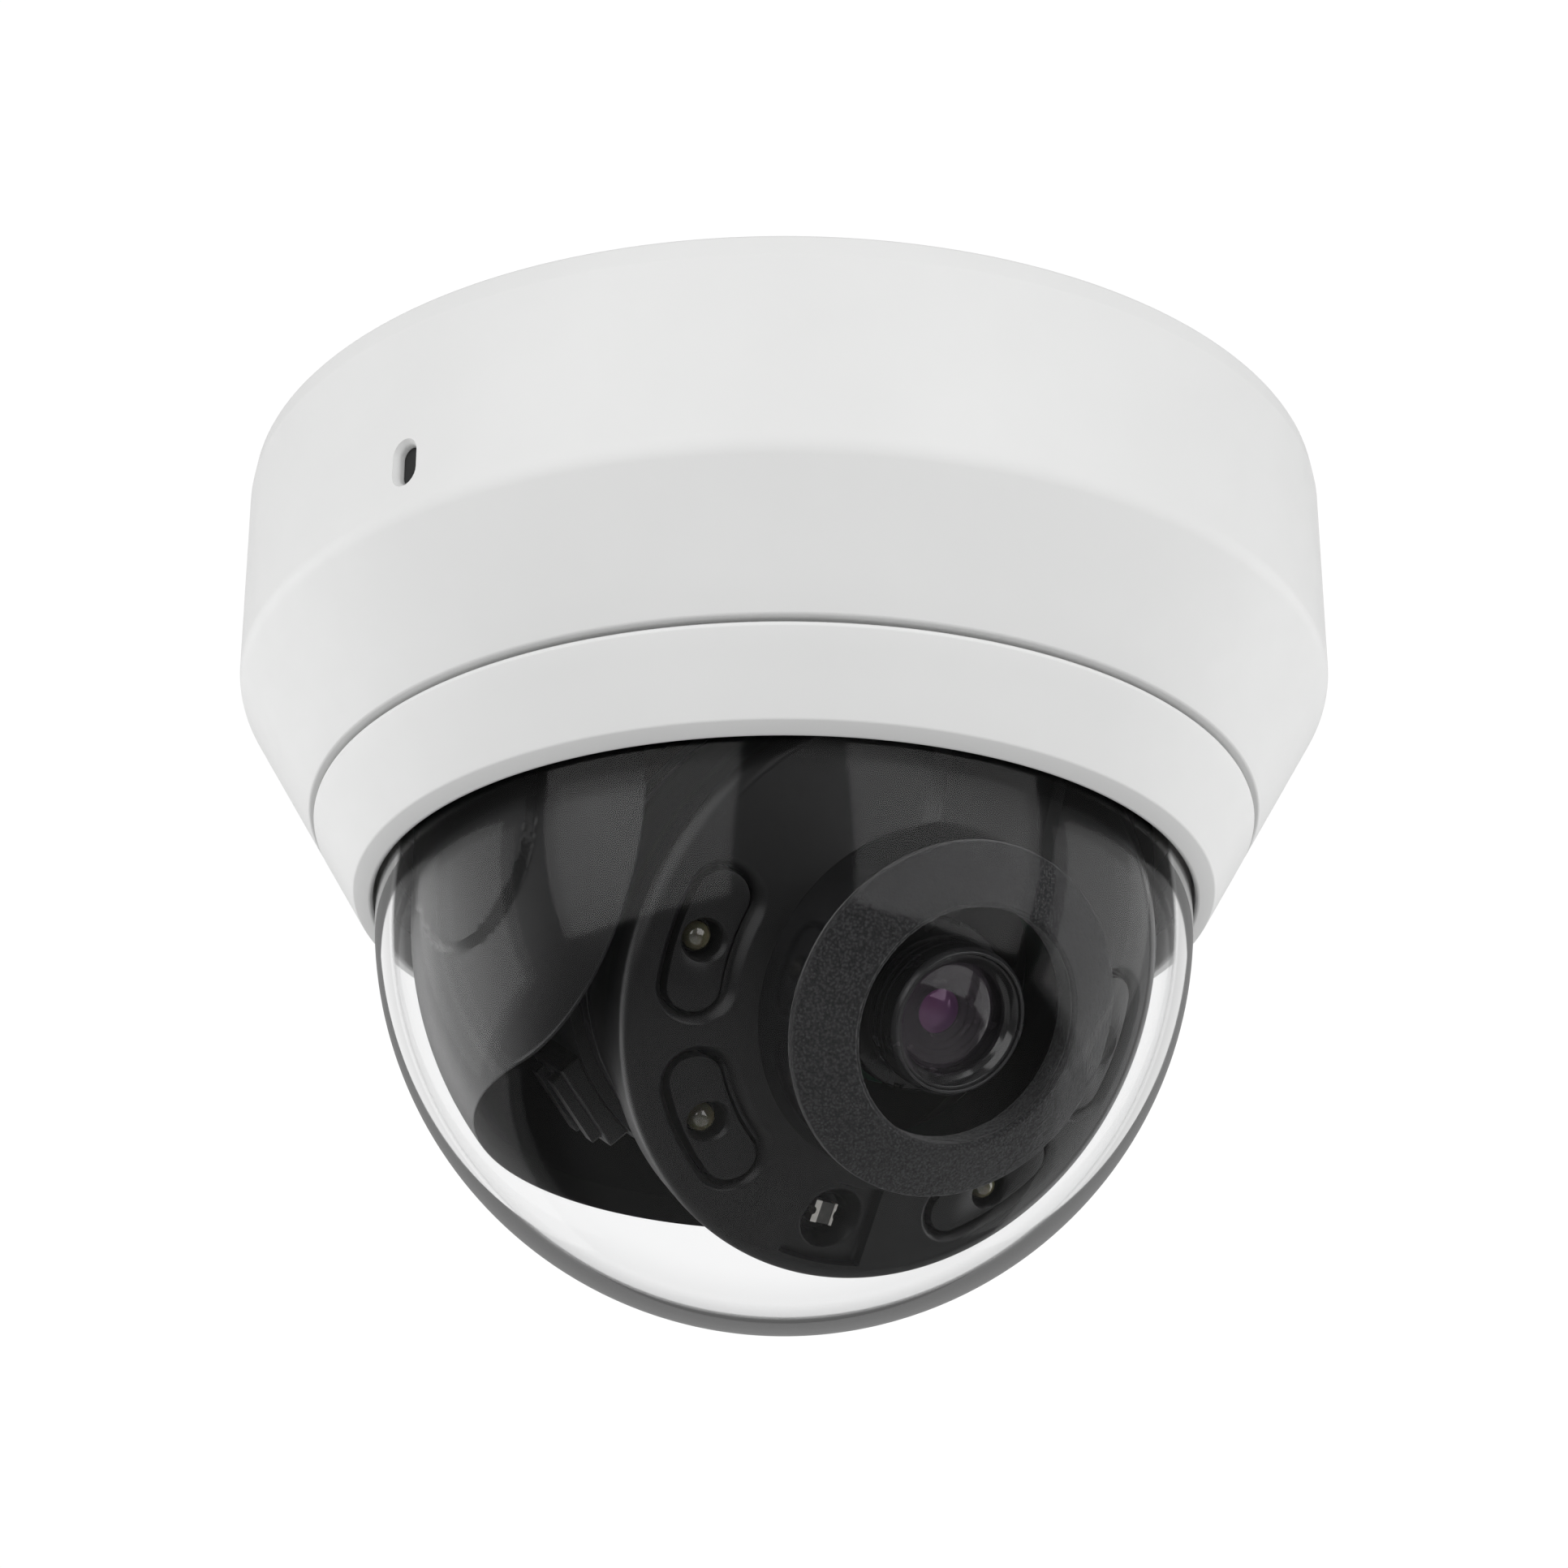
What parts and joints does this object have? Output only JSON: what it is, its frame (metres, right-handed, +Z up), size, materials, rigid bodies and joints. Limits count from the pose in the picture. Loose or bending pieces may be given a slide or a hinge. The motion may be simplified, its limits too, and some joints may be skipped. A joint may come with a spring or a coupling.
{
  "type": "dome network camera",
  "caption": "Ceiling dome camera with a white housing, clear dome, black slotted shroud and a pan, tilt and rotate lens module ringed with foam and infrared lamps.",
  "frame": {"origin": "centre of the flat ceiling face, which is also the centre of the ceiling screw pattern", "axes": "+Z points up into the ceiling, -Y is the front of the housing; the lens looks 34.5 degrees round from the front and 34.5 degrees down at rest"},
  "size_m": [0.12, 0.12, 0.0949],
  "materials": {
    "white_shell": "fine matte texture",
    "white_base": "moulded matte",
    "clear_dome": "clear polished",
    "black_plastic": "satin black",
    "rubber_seal": "matte",
    "foam": "fine-celled foam",
    "steel": "zinc plated",
    "nylon": "satin",
    "circuit_board": "solder mask",
    "black_board": "solder mask",
    "chip": "moulded",
    "green_plastic": "moulded",
    "heat_metal": "extruded",
    "lamp_lens": "clear moulded",
    "black_metal": "black anodised",
    "lens_glass": "coated"
  },
  "bodies": {
    "base": {"mounting_base": "white_base", "cable_grommet": "rubber_seal", "upper_housing": "white_shell", "housing_screws": "steel", "chassis_ring": "black_plastic", "chassis_screws": "steel", "pan_retainer": "black_plastic", "retainer_screws": "steel", "pan_washer": "nylon", "main_board": "circuit_board", "board_screws": "steel", "processor_chip": "chip", "heat_spreader": "heat_metal", "network_jack": "black_plastic", "power_terminal": "green_plastic", "line_transformer": "chip", "card_slot": "steel", "reset_switch": "steel"},
    "dome_cover": {"cover_ring": "white_shell", "clear_dome": "clear_dome", "dome_gasket": "rubber_seal", "dome_retainer": "black_plastic"},
    "pan_unit": {"turntable_yoke": "black_plastic", "inner_shroud": "black_plastic", "shroud_screws": "steel"},
    "tilt_unit": {"tilt_cradle": "black_plastic", "tilt_screws": "steel", "tilt_washers": "nylon", "rotation_clip": "black_plastic"},
    "camera_module": {"module_shell": "black_plastic", "rotation_retainer": "steel", "module_cap": "black_plastic", "module_board": "circuit_board", "front_cover": "black_plastic", "cover_screws": "steel", "led_board": "black_board", "ir_leds": "lamp_lens", "led_inserts": "black_plastic", "light_sensor": "chip", "lens_collar": "black_plastic", "foam_ring": "foam", "sensor_board": "circuit_board", "image_sensor": "chip", "filter_frame": "black_plastic", "lens_mount": "black_plastic", "lens_lock_ring": "black_metal"},
    "focus_lens": {"lens_barrel": "black_metal", "lens_trim_ring": "black_metal", "lens_front_glass": "lens_glass", "lens_inner_element": "lens_glass", "lens_rear_element": "lens_glass"},
    "day_night_filter": {"filter_blade": "lens_glass"},
    "latch": {"release_latch": "black_plastic"},
    "reset_key": {"reset_button": "black_plastic"},
    "card": {"memory_card": "black_plastic"}
  },
  "joints": [
    {"name": "pan", "type": "hinge", "parent": "base", "child": "pan_unit", "pos_m": [0, 0, -0.0508], "axis": [0, 0, 1], "range_deg": [-175, 175]},
    {"name": "tilt", "type": "hinge", "parent": "pan_unit", "child": "tilt_unit", "pos_m": [0, 0, -0.0508], "axis": [0.8241, 0.5664, 0], "range_deg": [-19.5, 55.5]},
    {"name": "lens_rotation", "type": "hinge", "parent": "tilt_unit", "child": "camera_module", "pos_m": [0, 0, -0.0508], "axis": [0.4668, -0.6792, -0.5664], "range_deg": [-175, 175]},
    {"name": "focus", "type": "hinge", "parent": "camera_module", "child": "focus_lens", "pos_m": [0, 0, -0.0508], "axis": [0.4668, -0.6792, -0.5664], "range_deg": [-60, 60]},
    {"name": "filter_slide", "type": "slide", "parent": "camera_module", "child": "day_night_filter", "axis": [0.8241, 0.5664, 0], "range_m": [0, 0.004]},
    {"name": "cover_twist", "type": "hinge", "parent": "base", "child": "dome_cover", "pos_m": [0, 0, -0.0392], "axis": [0, 0, 1], "range_deg": [0, 25]},
    {"name": "latch_press", "type": "slide", "parent": "base", "child": "latch", "axis": [0.6481, 0.7615, 0], "range_m": [0, 0.0015], "stiffness_N_per_m": 400},
    {"name": "reset_press", "type": "slide", "parent": "base", "child": "reset_key", "axis": [0, 0, 1], "range_m": [0, 0.0004], "stiffness_N_per_m": 500},
    {"name": "card_slide", "type": "slide", "parent": "base", "child": "card", "axis": [0, -1, 0], "range_m": [0, 0.01]}
  ]
}
